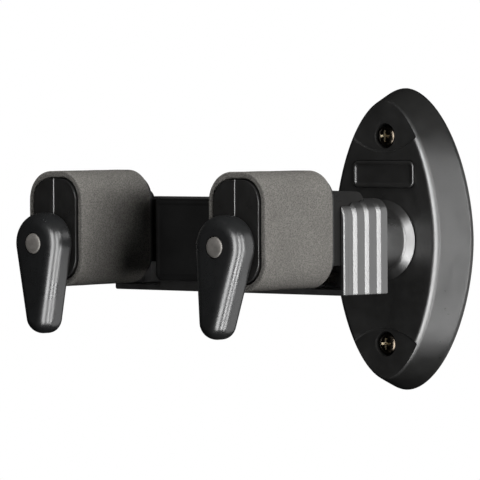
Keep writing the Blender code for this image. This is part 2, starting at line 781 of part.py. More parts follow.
bpy.context.view_layer.update()
swivel = carrier("swivel_axis", (0, HOUSING_BACK, 0))
slide = carrier("carriage_axis", (0, CARRIAGE_OUT, 0), swivel)
finger_axes = {
    tag: carrier(f"{tag}_finger_axis", (side * ARM_X, CORE_FRONT, PIN_Z), slide)
    for tag, side in SIDES
}
bpy.context.view_layer.update()
for obj in [piece for piece in parts.objects if piece.type != "EMPTY"]:
    side_name, _, rest = obj.name.partition("_")
    if side_name in finger_axes and rest in FINGER_PIECES:
        hang(obj, finger_axes[side_name])
    elif obj.name.startswith(HOUSING_PIECES):
        hang(obj, swivel)
    elif not obj.name.startswith(WALL_PIECES):
        hang(obj, slide)
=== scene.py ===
"""A wall-mounted holder: an oval wall plate, a swivel neck, a housing and two foam-sleeved arms,
each ending in a locking finger.

The wall is the XZ plane and the holder stands out from it along -Y. Lengths are in millimetres
unless noted, and "out" is the distance from the wall, so Y = -out. Left is -X and right is +X,
as seen by a viewer facing the wall.
"""
import math

import bmesh
import bpy
from mathutils import Matrix, Vector, noise


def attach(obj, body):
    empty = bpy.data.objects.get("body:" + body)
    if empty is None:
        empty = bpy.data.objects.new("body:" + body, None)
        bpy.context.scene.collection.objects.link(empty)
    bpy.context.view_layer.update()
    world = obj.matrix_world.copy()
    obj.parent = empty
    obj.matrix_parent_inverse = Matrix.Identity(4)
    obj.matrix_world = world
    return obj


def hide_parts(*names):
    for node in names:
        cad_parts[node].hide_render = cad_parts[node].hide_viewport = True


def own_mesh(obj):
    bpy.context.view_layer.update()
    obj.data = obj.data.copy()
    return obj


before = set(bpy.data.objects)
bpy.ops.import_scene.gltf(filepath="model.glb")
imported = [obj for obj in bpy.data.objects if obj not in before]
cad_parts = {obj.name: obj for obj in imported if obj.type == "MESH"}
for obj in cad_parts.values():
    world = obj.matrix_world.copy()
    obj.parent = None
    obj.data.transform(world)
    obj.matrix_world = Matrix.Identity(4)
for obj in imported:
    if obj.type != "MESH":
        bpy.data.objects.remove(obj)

MM = 0.001
TAU = 2 * math.pi
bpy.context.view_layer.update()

SIDES = (("left", -1), ("right", 1))
PLATE_ENDS = (("upper", 1), ("lower", -1))
ARM_X, ARM_Z = 36.0, 5.95  # centre of an arm's section
PIN_Z = 1.75  # height of the finger shafts
SCREW_Z = 33.0  # wall screws, above and below the neck
GAP = 0.3  # between the two halves of an arm, and round the nameplate


# ---- materials ----
class Nodes:
    """A short way to write a node tree."""

    def __init__(self, name):
        self.mat = bpy.data.materials.new(name)
        self.mat.use_nodes = True
        self.tree = self.mat.node_tree
        self.shader = self.tree.nodes["Principled BSDF"]
        self.coords = self.add("ShaderNodeTexCoord").outputs["Object"]

    def add(self, kind, **settings):
        node = self.tree.nodes.new(kind)
        for key, value in settings.items():
            setattr(node, key, value)
        return node

    def link(self, source, target):
        self.tree.links.new(source, target)

    def stretched(self, scale):
        mapping = self.add("ShaderNodeMapping")
        mapping.inputs["Scale"].default_value = scale
        self.link(self.coords, mapping.inputs["Vector"])
        return mapping.outputs["Vector"]

    def noise(self, scale, detail=3.0, rough=0.55, vector=None):
        node = self.add("ShaderNodeTexNoise")
        node.inputs["Scale"].default_value = scale
        node.inputs["Detail"].default_value = detail
        node.inputs["Roughness"].default_value = rough
        self.link(vector or self.coords, node.inputs["Vector"])
        return node.outputs["Fac"]

    def voronoi(self, scale):
        node = self.add("ShaderNodeTexVoronoi", feature="F1")
        node.inputs["Scale"].default_value = scale
        self.link(self.coords, node.inputs["Vector"])
        return node.outputs["Distance"]

    def remap(self, value, span, onto=(0, 1)):
        node = self.add("ShaderNodeMapRange")
        self.link(value, node.inputs["Value"])
        for key, limit in zip(("From Min", "From Max", "To Min", "To Max"), (*span, *onto)):
            node.inputs[key].default_value = limit
        return node.outputs["Result"]

    def mix(self, factor, first, second):
        node = self.add("ShaderNodeMix", data_type="RGBA")
        self.link(factor, node.inputs[0])
        # 6 and 7 are the colour inputs of the mix node, and 2 its colour output
        for socket, colour in ((node.inputs[6], first), (node.inputs[7], second)):
            if isinstance(colour, tuple):
                socket.default_value = (*colour, 1)
            else:
                self.link(colour, socket)
        return node.outputs[2]

    def bump(self, height, distance, strength=1.0, normal=None):
        """distance is in millimetres."""
        node = self.add("ShaderNodeBump")
        node.inputs["Strength"].default_value = strength
        node.inputs["Distance"].default_value = distance * MM
        self.link(height, node.inputs["Height"])
        if normal:
            self.link(normal, node.inputs["Normal"])
        return node.outputs["Normal"]

    def edge_wear(self):
        pointiness = self.add("ShaderNodeNewGeometry").outputs["Pointiness"]
        return self.remap(pointiness, span=(0.52, 0.62), onto=(0.0, 1.0))

    def into(self, **inputs):
        """Sets or links the main shader's inputs, and returns the material."""
        for key, value in inputs.items():
            socket = self.shader.inputs[key.replace("_", " ")]
            if isinstance(value, (int, float)):
                socket.default_value = value
            elif isinstance(value, tuple):
                socket.default_value = (*value, 1)
            else:
                self.link(value, socket)
        return self.mat


def scaled(colour, factor):
    return tuple(min(1.0, channel * factor) for channel in colour)


def plastic(name, colour, rough, grain=0.012, grain_scale=2600, specular=0.5, wave=0.02, fade=None):
    """Moulded plastic: fine grain, slow cloudiness in gloss, faint rubbed edges.

    With fade, a pair of distances from the wall, specular is the pair of values it fades between.
    """
    nodes = Nodes(name)
    cloud = nodes.noise(scale=60, detail=4)
    tone = nodes.mix(
        nodes.remap(cloud, span=(0.35, 0.65)), scaled(colour, 0.82), scaled(colour, 1.18)
    )
    specks = nodes.remap(nodes.noise(scale=4200, detail=1), span=(0.4, 0.75), onto=(0, 0.35))
    tone = nodes.mix(specks, tone, scaled(colour, 1.7))
    tone = nodes.mix(nodes.edge_wear(), tone, scaled(colour, 2.0))
    patches = nodes.noise(scale=170, detail=5, rough=0.65)
    gloss = nodes.remap(patches, span=(0.3, 0.7), onto=(rough - 0.05, rough + 0.07))
    fine = nodes.bump(nodes.noise(grain_scale, detail=2), distance=grain)
    slow = nodes.bump(nodes.noise(scale=220, detail=2), distance=wave, strength=0.5, normal=fine)
    if fade:
        split = nodes.add("ShaderNodeSeparateXYZ")
        nodes.link(nodes.coords, split.inputs[0])
        near, far = fade
        specular = nodes.remap(
            split.outputs["Y"], span=(-far * MM, -near * MM), onto=(specular[1], specular[0])
        )
    return nodes.into(Base_Color=tone, Roughness=gloss, Normal=slow, Specular_IOR_Level=specular)


def foam(name, colour):
    """Open-grained foam rubber: pits over a finer tooth, dusty highs, and painted shade that darkens
    the pits.
    """
    nodes = Nodes(name)
    pits = nodes.voronoi(scale=2300)
    tooth = nodes.noise(scale=4200, detail=3, rough=0.7)
    slow = nodes.noise(scale=90, detail=3)
    # painted shade: darker in the pits, lighter on the ground between them
    tone = nodes.mix(
        nodes.remap(pits, span=(0.05, 0.7)), scaled(colour, 0.45), scaled(colour, 1.45)
    )
    dust = nodes.remap(tooth, span=(0.45, 0.7), onto=(0, 0.6))
    tone = nodes.mix(dust, tone, scaled(colour, 2.1))
    shade = nodes.remap(slow, span=(0.3, 0.7), onto=(0, 0.3))
    tone = nodes.mix(shade, tone, scaled(colour, 0.8))
    rough = nodes.remap(tooth, span=(0.3, 0.7), onto=(0.86, 1.0))
    swell = nodes.noise(scale=260, detail=3)
    normal = nodes.bump(pits, distance=0.1, strength=0.8)
    normal = nodes.bump(tooth, distance=0.05, strength=0.8, normal=normal)
    normal = nodes.bump(swell, distance=0.08, strength=0.6, normal=normal)
    return nodes.into(Base_Color=tone, Roughness=rough, Normal=normal, Specular_IOR_Level=0.0)


def metal(name, colour, rough, stretch=(1, 1, 1), tint=None, grain=0.006, metallic=1.0):
    """Metal with machining marks along the stretched axis and a slow stain."""
    nodes = Nodes(name)
    marks = nodes.noise(scale=1500, detail=4, rough=0.6, vector=nodes.stretched(stretch))
    stain = nodes.noise(scale=240, detail=4)
    stained = nodes.remap(stain, span=(0.35, 0.7))
    tone = nodes.mix(stained, colour, tint or scaled(colour, 0.75))
    tone = nodes.mix(nodes.edge_wear(), tone, scaled(colour, 1.5))
    gloss = nodes.remap(marks, span=(0.3, 0.7), onto=(rough - 0.07, rough + 0.12))
    normal = nodes.bump(marks, distance=grain)
    return nodes.into(Base_Color=tone, Roughness=gloss, Metallic=metallic, Normal=normal)


# dull on the root, glossier beyond the shoulder
ARM = plastic("arm_black", colour=(0.0095, 0.0093, 0.009), rough=0.30, grain=0.005, wave=0.006,
              fade=(92.0, 93.5), specular=(0.05, 0.7))
NECK = plastic("neck_black", colour=(0.011, 0.0108, 0.0105), rough=0.30, grain=0.005,
               specular=1.0, wave=0.008)
FINGER = plastic("finger_black", colour=(0.012, 0.0124, 0.0128), rough=0.28, grain=0.0004,
                 specular=0.55, wave=0.0015)
GREY = plastic("housing_satin", colour=(0.020, 0.020, 0.0197), rough=0.33, grain=0.008,
               specular=1.0, wave=0.008)
# brighter towards its raised face
PLATE = plastic("plate_black", colour=(0.012, 0.0119, 0.0115), rough=0.32, grain=0.005,
                wave=0.006, fade=(10.2, 10.8), specular=(0.30, 0.9))
FOAM = foam("foam_sleeve", colour=(0.1225, 0.1175, 0.109))
RUBBER = plastic("pad_rubber", colour=(0.004, 0.004, 0.004), rough=0.62, grain=0.03,
                 grain_scale=1500, specular=0.1)
STEEL = metal("turned_steel", colour=(0.42, 0.40, 0.38), rough=0.34, stretch=(1, 1, 0.08))
PIN = metal("pin_steel", colour=(0.19, 0.178, 0.165), rough=0.58, stretch=(0.1, 1, 1),
            tint=(0.105, 0.099, 0.091), grain=0.014, metallic=0.4)
# lighter golden colour for the screws' cross recess: a painted glint
CROSS_GLINT = metal("cross_painted_glint", colour=(0.36, 0.31, 0.22), rough=0.42, tint=(0.12, 0.10, 0.065),
             grain=0.01)
DARK = metal("oiled_screw", colour=(0.075, 0.062, 0.048), rough=0.20, tint=(0.022, 0.019, 0.015),
             grain=0.008)
ZINC = metal("stamped_zinc", colour=(0.50, 0.50, 0.49), rough=0.38, stretch=(1, 1, 0.2))
WIRE = metal("spring_wire", colour=(0.5, 0.5, 0.52), rough=0.24)
BRASS = metal("machined_brass", colour=(0.62, 0.44, 0.18), rough=0.3, stretch=(1, 0.1, 1))
# near black: painted shade, so the racks, pinions and rear bushes seen below the arm roots read as
# dark
GEAR_SHADE = metal("gear_painted_shade", colour=(0.022, 0.020, 0.017), rough=0.6, stretch=(1, 0.1, 1))
NYLON = plastic("natural_nylon", colour=(0.62, 0.61, 0.55), rough=0.5, grain=0.006)


# ---- solids ----
def point(x, out, z):
    return Vector((x, -out, z)) * MM


def new_object(name, shape):
    bmesh.ops.recalc_face_normals(shape, faces=shape.faces)
    mesh = bpy.data.meshes.new(name)
    shape.to_mesh(mesh)
    shape.free()
    obj = bpy.data.objects.new(name, mesh)
    bpy.context.scene.collection.objects.link(obj)
    return obj


def loft(name, rings, closed=False):
    """A body through rings of (x, out, z): flat at both ends, or with the last joined to the first."""
    shape = bmesh.new()
    loops = [[shape.verts.new(point(*place)) for place in ring] for ring in rings]
    count = len(loops[0])
    for low, high in zip(loops, loops[1:] + (loops[:1] if closed else [])):
        for i in range(count):
            j = (i + 1) % count
            shape.faces.new((low[i], low[j], high[j], high[i]))
    if not closed:
        shape.faces.new(loops[0])
        shape.faces.new(loops[-1])
    return new_object(name, shape)


def lathe(name, profile, x, z, steps=64):
    """A turned body about an axis square to the wall. profile is (radius, out); radius 0 closes it."""
    shape = bmesh.new()
    loops = []
    for radius, out in profile:
        angles = [TAU * k / steps for k in range(steps)] if radius >= 1e-6 else [0.0]
        loops.append([
            shape.verts.new(point(x + radius * math.cos(angle), out, z + radius * math.sin(angle)))
            for angle in angles
        ])
    for low, high in zip(loops, loops[1:]):
        for k in range(steps):
            j = (k + 1) % steps
            if len(low) == 1:
                shape.faces.new((low[0], high[k], high[j]))
            elif len(high) == 1:
                shape.faces.new((low[k], low[j], high[0]))
            else:
                shape.faces.new((low[k], low[j], high[j], high[k]))
    return new_object(name, shape)


def block(name, x, out, z, taper=1.0):
    """A block between pairs of limits. taper scales its wall-side end."""
    shape = bmesh.new()
    bmesh.ops.create_cube(shape, size=1)
    for vert in shape.verts:
        scale = taper if vert.co.y > 0 else 1.0
        vert.co = Vector((
            (sum(x) / 2 + vert.co.x * scale * abs(x[1] - x[0])) * MM,
            (-sum(out) / 2 + vert.co.y * abs(out[1] - out[0])) * MM,
            (sum(z) / 2 + vert.co.z * scale * abs(z[1] - z[0])) * MM,
        ))
    return new_object(name, shape)


def rod(name, axis, centre, radius, length, steps=40):
    shape = bmesh.new()
    bmesh.ops.create_cone(shape, cap_ends=True, segments=steps, radius1=radius * MM,
                          radius2=radius * MM, depth=length * MM)
    pivot, angle = {"out": ("X", math.pi / 2), "x": ("Y", math.pi / 2), "z": ("Z", 0)}[axis]
    shape.transform(Matrix.Translation(point(*centre)) @ Matrix.Rotation(angle, 4, pivot))
    return new_object(name, shape)


def apply(obj):
    """Replaces the mesh by what its modifiers make of it."""
    bpy.context.view_layer.update()
    graph = bpy.context.evaluated_depsgraph_get()
    mesh = bpy.data.meshes.new_from_object(obj.evaluated_get(graph))
    obj.modifiers.clear()
    old = obj.data
    obj.data = mesh
    bpy.data.meshes.remove(old)


def boolean(target, tools, operation):
    for tool in tools:
        modifier = target.modifiers.new("boolean", "BOOLEAN")
        modifier.operation, modifier.solver, modifier.object = operation, "EXACT", tool
        apply(target)
        bpy.data.objects.remove(tool, do_unlink=True)


def cut(target, *tools):
    boolean(target, tools, "DIFFERENCE")


def join(target, *tools):
    boolean(target, tools, "UNION")


def tidy(obj):
    """Merges the slivers that booleans leave."""
    shape = bmesh.new()
    shape.from_mesh(obj.data)
    bmesh.ops.remove_doubles(shape, verts=shape.verts, dist=0.000004)
    bmesh.ops.dissolve_degenerate(shape, dist=0.000004, edges=shape.edges)
    shape.to_mesh(obj.data)
    shape.free()


def add_bevel(obj, width, angle):
    bevel = obj.modifiers.new("edge", "BEVEL")
    bevel.width, bevel.segments = width * MM, 2
    bevel.limit_method, bevel.angle_limit = "ANGLE", math.radians(angle)
    return bevel


def soften(obj, width, angle=48):
    """Rounds the sharp edges of a moulded piece."""
    tidy(obj)
    bevel = add_bevel(obj, width, angle)
    bevel.use_clamp_overlap, bevel.miter_outer = True, "MITER_ARC"
    apply(obj)


def spread(obj, beyond, longest):
    """Splits the long triangles of flat faces further out than beyond, so edge wear stays at
    the edges. The surface doesn't move."""
    shape = bmesh.new()
    shape.from_mesh(obj.data)
    for _ in range(6):
        flat = [face for face in shape.faces
                if -face.calc_center_median().y > beyond * MM and abs(face.normal.y) > 0.999]
        flat = bmesh.ops.triangulate(shape, faces=flat)["faces"]
        long = {edge for face in flat for edge in face.edges
                if edge.calc_length() > longest * MM}
        if not long:
            break
        bmesh.ops.subdivide_edges(shape, edges=list(long), cuts=1)
    shape.to_mesh(obj.data)
    shape.free()


def finish(obj, mat, body, original, sharp=34, weighted=True):
    """Shades a piece and puts it in the place of the CAD piece called original."""
    obj.data.shade_smooth()
    obj.data.set_sharp_from_angle(angle=math.radians(sharp))
    obj.data.materials.clear()
    obj.data.materials.append(mat)
    if weighted:
        normals = obj.modifiers.new("normals", "WEIGHTED_NORMAL")
        normals.keep_sharp, normals.weight, normals.mode = True, 80, "FACE_AREA"
    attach(obj, body)
    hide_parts(original)


# ---- outlines ----
def smooth_path(points, rounds=2):
    """Corner cutting that keeps the ends."""
    for _ in range(rounds):
        path = [points[0]]
        for start, end in zip(points, points[1:]):
            path.append(tuple(a * 0.75 + b * 0.25 for a, b in zip(start, end)))
            path.append(tuple(a * 0.25 + b * 0.75 for a, b in zip(start, end)))
        points = path + [points[-1]]
    return points


def between(start, end, steps=16):
    """The points that divide a straight line into steps, without its ends."""
    return [tuple(a + (b - a) * k / steps for a, b in zip(start, end)) for k in range(1, steps)]


def oval(half_x, half_z, count=200):
    """A superellipse, slightly slimmer than an ellipse."""
    power = 1.82
    points = []
    for i in range(count):
        cos, sin = math.cos(TAU * i / count), math.sin(TAU * i / count)
        reach = (abs(cos) ** power + abs(sin) ** power) ** (-1 / power)
        points.append((half_x * cos * reach, half_z * sin * reach))
    return points


def rounded(x0, x1, z0, z1, radii, steps=12):
    """A rectangle with rounded corners. radii run anticlockwise in x and z from (x1, z0)."""
    corners = ((x1, z0, -1, 1, 270), (x1, z1, -1, -1, 0), (x0, z1, 1, -1, 90), (x0, z0, 1, 1, 180))
    points = []
    for (x, z, way_x, way_z, start), radius in zip(corners, radii):
        for k in range(steps + 1):
            angle = math.radians(start + 90 * k / steps)
            points.append((x + way_x * radius + radius * math.cos(angle),
                           z + way_z * radius + radius * math.sin(angle)))
    return points


def stadium(x, z, shape, count=150):
    """Evenly spaced points of a rounded rectangle with their outward normals.

    shape is (half width, half height, corner radius). A point is (x, z, normal x, normal z).
    """
    wide, high, radius = shape
    flat_x, flat_z, arc = wide - radius, high - radius, math.pi / 2 * radius
    parts = [  # straight: length, start, direction, normal; corner: length, centre, start angle
        (2 * flat_z, (wide, -flat_z), (0, 1), (1, 0)),
        (arc, (flat_x, flat_z), 0),
        (2 * flat_x, (flat_x, high), (-1, 0), (0, 1)),
        (arc, (-flat_x, flat_z), 90),
        (2 * flat_z, (-wide, flat_z), (0, -1), (-1, 0)),
        (arc, (-flat_x, -flat_z), 180),
        (2 * flat_x, (-flat_x, -high), (1, 0), (0, -1)),
        (arc, (flat_x, -flat_z), 270),
    ]
    total = sum(part[0] for part in parts)
    points = []
    for i in range(count):
        along = total * i / count
        for part in parts:
            if along <= part[0] + 1e-9:
                break
            along -= part[0]
        from_x, from_z = part[1]
        if len(part) == 4:
            step, normal = part[2:]
            reach = along
        else:
            angle = math.radians(part[2]) + along / radius
            step = normal = (math.cos(angle), math.sin(angle))
            reach = radius
        points.append((x + from_x + step[0] * reach, z + from_z + step[1] * reach, *normal))
    return points


def lifted(points, out):
    return [(x, out, z) for x, z in points]


def outline_loft(name, points, out0, out1):
    return loft(name, [lifted(points, out0), lifted(points, out1)])


def stadium_loft(name, x, shape, profile):
    """A stadium on an arm's centre line. profile is (out, inset)."""
    path = stadium(x, ARM_Z, shape)
    return loft(name, [
        [(px - nx * inset, out, pz - nz * inset) for px, pz, nx, nz in path]
        for out, inset in profile
    ])


def rounded_slab(name, box, radii, profile):
    """A slab on the rectangle box (x0, x1, z0, z1). profile is (out, inset), before smoothing."""
    x0, x1, z0, z1 = box
    return loft(name, [
        lifted(rounded(x0 + inset, x1 - inset, z0 + inset, z1 - inset,
                       [max(0.3, radius - inset) for radius in radii]), out)
        for out, inset in smooth_path(profile)
    ])


# ---- wall plate ----
# out, half width, half height
SKIRT = [(0.0, 26.9, 48.2), (0.9, 26.87, 48.17), (1.7, 26.5, 47.95), (9.4, 21.87, 45.0),
         (10.45, 21.24, 44.5), (11.6, 19.75, 43.2), (11.6, 18.4, 42.1)]
CAVITY = [(-1, 24.9, 46.2), (1.2, 24.4, 45.7), (8.2, 20.0, 42.9)]
HUB_OUT, HUB_LENGTH = 5.75, 6.7  # middle and length of the hub and the screw bosses
BADGE_X, BADGE_LOW, BADGE_HIGH = 12.2, 16.7, 25.1  # nameplate half width, bottom and top
# radius, out
SCOOP = [(0, 13), (20.9, 13), (20.45, 11.25), (20.1, 11.0), (0, 11.0)]
SCOOP_Z = 48.4
SCREW_HOLE = [(0, 13), (4.35, 13), (4.0, 10.65), (4.0, 8.6), (2.7, 8.6), (2.7, 1), (0, 1)]
NECK_BORE = [(0, 13), (9.3, 13), (9.3, 9.2), (4.4, 9.2), (4.4, 7.2), (7.2, 7.2), (7.2, 1), (0, 1)]


def build_cover():
    """The hollow oval cover, with a shallow round scoop at each end of its face."""
    cover = loft("wall_plate_cover_fine",
                 [lifted(oval(wide, high), out) for out, wide, high in smooth_path(SKIRT, 3)])
    cut(cover, loft("cavity", [lifted(oval(wide, high, 120), out) for out, wide, high in CAVITY]))
    join(cover, rod("hub", "out", (0, HUB_OUT, 0), 13.5, HUB_LENGTH, 64))
    for _, side in PLATE_ENDS:
        join(cover, rod("boss", "out", (0, HUB_OUT, side * SCREW_Z), 5.2, HUB_LENGTH))
        cut(
            cover,
            lathe("scoop", SCOOP, 0, side * SCOOP_Z, 160),
            lathe("hole", SCREW_HOLE, 0, side * SCREW_Z),
        )
    pocket = rounded(-BADGE_X - GAP, BADGE_X + GAP, BADGE_LOW - GAP, BADGE_HIGH + GAP, (2.2,) * 4)
    cut(cover, lathe("bore", NECK_BORE, 0, 0), outline_loft("pocket", pocket, 11.0, 13.0))
    soften(cover, width=0.16, angle=42)
    spread(cover, beyond=10.9, longest=1.5)
    finish(cover, PLATE, "wall_mount", "wall_plate_cover", sharp=15)


def build_nameplate():
    """A raised frame round an empty recessed panel."""
    profile = [(11.3, 0), (11.9, 0), (12.2, 0.12), (12.2, 0.85), (11.8, 1.2), (11.7, 1.7)]
    box = (-BADGE_X, BADGE_X, BADGE_LOW, BADGE_HIGH)
    plate = rounded_slab("nameplate_blank_fine", box, (2.0,) * 4, profile)
    finish(plate, PLATE, "wall_mount", "nameplate_blank")


# ---- wall screws ----
# radius, out
SCREW_HEAD = [(0, 10.9), (1.7, 10.82), (2.8, 10.45), (3.4, 9.9), (3.55, 9.4), (3.52, 8.98),
              (3.2, 8.95)]
SCREW_SHANK = [(2.1, 8.95), (2.0, 8.6), (1.45, 8.3), (1.45, 4.0), (0, 4.0)]
CROSS_LONG, CROSS_THIN = 2.15, 0.4  # half sizes of the cross recess
THREAD_OUT, THREAD_LENGTH, THREAD_PITCH = 7.5, 20.3, 1.6
THREAD_CORE, THREAD_DEPTH = 1.4, 0.6


def thread(z, rings=150, steps=36):
    """A helix of constant pitch that fades into the point."""
    loops = []
    for k in range(rings + 1):
        out = THREAD_OUT - THREAD_LENGTH * k / rings
        fade = min(1.0, max(0.0, (out + 12.9) / 4.5)) ** 0.8
        loop = []
        for i in range(steps):
            phase = (out / THREAD_PITCH + i / steps) % 1.0
            crest = max(0.0, 1 - abs(phase - 0.5) / 0.28)
            radius = (THREAD_CORE + THREAD_DEPTH * crest) * max(0.06, fade)
            angle = TAU * i / steps
            loop.append((radius * math.cos(angle), out, z + radius * math.sin(angle)))
        loops.append(loop)
    return loft("thread", loops)


def build_wall_screw(tag, z):
    screw = lathe(f"wall_screw_{tag}_fine", smooth_path(SCREW_HEAD) + SCREW_SHANK, 0, z)
    for wide, high in ((CROSS_THIN, CROSS_LONG), (CROSS_LONG, CROSS_THIN)):
        cut(screw, block("slot", (-wide, wide), (9.35, 11.4), (z - high, z + high), taper=0.55))
    join(screw, thread(z))
    tidy(screw)
    finish(screw, DARK, "wall_mount", f"wall_screw_{tag}")
    # painted glint: faces near the axis that lie below the domed head, the cross recess, get a lighter
    # golden colour that stands for the glints in it
    screw.data.materials.append(CROSS_GLINT)
    for face in screw.data.polygons:
        radius = math.hypot(face.center.x, face.center.z - z * MM) / MM
        out = -face.center.y / MM
        if radius < 2.4 and 9.2 < out < 10.9 - 0.06 * radius * radius - 0.12:
            face.material_index = 1


# ---- neck ----
# radius, out: outside with its flared foot, then the bore
NECK_PROFILE = [
    (9.0, 9.5), (9.0, 11.95), (12.62, 11.95), (12.76, 12.0), (12.8, 12.12), (12.74, 12.24),
    (10.85, 13.72), (10.55, 14.05), (10.38, 14.42), (10.3, 14.9), (10.3, 40.0), (10.3, 67.9),
    (10.12, 68.35), (9.8, 68.5), (4.4, 68.5), (4.4, 9.5),
]


def build_neck():
    neck = lathe("swivel_neck_fine", NECK_PROFILE, 0, 0, 96)
    # close the wall-side end, between the outside and the bore
    shape = bmesh.new()
    shape.from_mesh(neck.data)
    bmesh.ops.bridge_loops(shape, edges=[edge for edge in shape.edges if edge.is_boundary])
    bmesh.ops.recalc_face_normals(shape, faces=shape.faces)
    shape.to_mesh(neck.data)
    shape.free()
    cut(neck, rod("pin_hole", "out", (0, 67, 8.3), 1.45, 7, 24))
    finish(neck, NECK, "wall_mount", "swivel_neck")


# ---- housing: four layers, each narrower than the one nearer the wall ----
LAYER_HALF = (48.15, 47.4, 46.65, 45.9)  # half widths
LAYER_END = (74.5, 79.2, 83.8)  # where the first three end
# share of the step in width still left, distance short of the layer's end
CHAMFER = ((1.0, 1.4), (0.98, 1.22), (0.93, 1.07), (0.07, 0.1), (0.02, 0.0), (0.0, -0.15))
HOUSE_LOW, HOUSE_TOP = -13.8, 14.7
ARM_SLOT_HALF = 8.7
POST_X, POST_Z, POST_HOLE = 20, -7.5, 1.8
POST_BORE = [(0, 90), (POST_HOLE, 90), (POST_HOLE, 71.4), (3.2, 71.4), (3.2, 68), (0, 68)]
STOP_OUTER, STOP_INNER = 9.9, 6.7  # radii of the arc-shaped slot over the swivel hole
FRONT_FLAT, FRONT_ROUND = 87.35, 0.55  # where the front cover's rounding starts, and its radius


def house_ring(half, out, inset=0.0):
    """The housing's section. Its top corners stretch downwards away from the wall."""
    corner, top = 4.5, HOUSE_TOP - inset
    stretch = 1.0 + 0.40 * min(1.0, max(0.0, (out - 72.0) / 14.0))
    radii = (0.6, corner, corner, 0.6)
    ring = rounded(-half + inset, half - inset, HOUSE_LOW + inset, top, radii, 14)
    return [(x, out, top - (top - z) * stretch if z > top - corner - 0.01 else z)
            for x, z in ring]


def arm_slot(side, out):
    middle = side * ARM_X
    return block("slot", (middle - ARM_SLOT_HALF, middle + ARM_SLOT_HALF), (out, 90), (-12.1, 20))


def build_housing():
    rings = [house_ring(LAYER_HALF[0], out, inset)
             for out, inset in ((69.9, 0.45), (70.03, 0.2), (70.3, 0.0))]
    for wide, narrow, end in zip(LAYER_HALF, LAYER_HALF[1:], LAYER_END):
        rings += [house_ring(narrow + (wide - narrow) * part, end - back)
                  for part, back in CHAMFER]
    rings.append(house_ring(LAYER_HALF[3], 88.5))
    housing = loft("housing_body_fine", rings)
    cut(housing, block("cavity", (-27.5, 27.5), (72.9, 90), (-11.5, 13.3)))
    for _, side in SIDES:
        pocket = block("pocket", (side * 26.3, side * 44.0), (73.0, 77.5), (-12.05, 10))
        cut(housing, arm_slot(side, 76.6), pocket)
    for _, side in SIDES:
        join(housing, rod("post", "out", (side * POST_X, 79.05, POST_Z), 2.8, 13.3))
        cut(
            housing,
            lathe("hole", POST_BORE, side * POST_X, POST_Z, 40),
            rod("socket", "z", (side * 12, 82.95, 0.6), 1.8, 26.8, 32),
        )
    arc = [math.radians(49 + 82 * k / 28) for k in range(29)]
    stop = [(STOP_OUTER * math.cos(angle), STOP_OUTER * math.sin(angle)) for angle in arc]
    stop += [(STOP_INNER * math.cos(angle), STOP_INNER * math.sin(angle))
             for angle in reversed(arc)]
    cut(
        housing,
        rod("swivel_hole", "out", (0, 71, 0), 4.45, 6, 48),
        outline_loft("stop_slot", stop, 69, 74),
    )
    soften(housing, width=0.22)
    # trimmed after softening, so the joint with the front cover stays a hairline
    cut(housing, block("rim", (-60, 60), (85.98, 95), (-30, 30)))
    finish(housing, GREY, "yoke_housing", "housing_body")


def build_front_cover():
    half = LAYER_HALF[3]
    rings = [house_ring(half, 84.0), house_ring(half, FRONT_FLAT)]
    for k in range(1, 7):
        angle = math.pi / 2 * k / 6
        rings.append(house_ring(half, FRONT_FLAT + FRONT_ROUND * math.sin(angle),
                                FRONT_ROUND * (1 - math.cos(angle))))
    front = loft("front_cover_fine", rings)
    for _, side in SIDES:
        hole = rod("hole", "out", (side * POST_X, 87, POST_Z), POST_HOLE, 8, 32)
        cut(front, arm_slot(side, 82), hole)
    soften(front, width=0.2)
    cut(front, block("rim", (-60, 60), (80, 86.03), (-30, 30)))
    finish(front, GREY, "yoke_housing", "front_cover")


def build_cradle_pad():
    profile = [(88.2, 0.3), (88.3, 0), (89.7, 0), (90.35, 0.35), (90.4, 1.2), (90.25, 1.9),
               (90.25, 2.6)]
    pad = rounded_slab("cradle_pad_fine", (-27, 27, -10.7, 14.4), (2.5, 0.8, 0.8, 2.5), profile)
    finish(pad, RUBBER, "yoke_housing", "cradle_pad")


# ---- arms, in two halves each ----
# half width, half height, corner radius
BARREL = (8.65, 15.1, 6.6)
SHOULDER = (9.5, 15.9, 7.4)
# out, inset
BARREL_PROFILE = [(93.4, 0), (125.1, 0), (125.31, 0.09), (125.4, 0.3)]
SHOULDER_PROFILE = [(91.8, 0.3), (91.95, 0.08), (92.15, 0), (93.45, 0), (93.65, 0.08), (93.8, 0.35)]
ROOT_HALF = 8.4
# out, z: the root seen from the side, with one rounded corner
ROOT = [(76.8, -4.8), (92.3, -4.8), (92.3, 17.4), (80.2, 16.9)]
ROOT += [
    (80.2 + 3.4 * math.cos(math.radians(angle)), 13.5 + 3.4 * math.sin(math.radians(angle)))
    for angle in range(100, 181, 8)
]
ARM_SCREW_OUT, ARM_SCREW_HEIGHTS = 108, (14.0, -4.9)
# distance past the parting face, out
LIP = [(-0.3, 125.45), (-0.24, 125.4), (-0.09, 125.28), (0, 125.13), (0.2, 125.13),
       (0.2, 125.6), (-0.3, 125.6)]


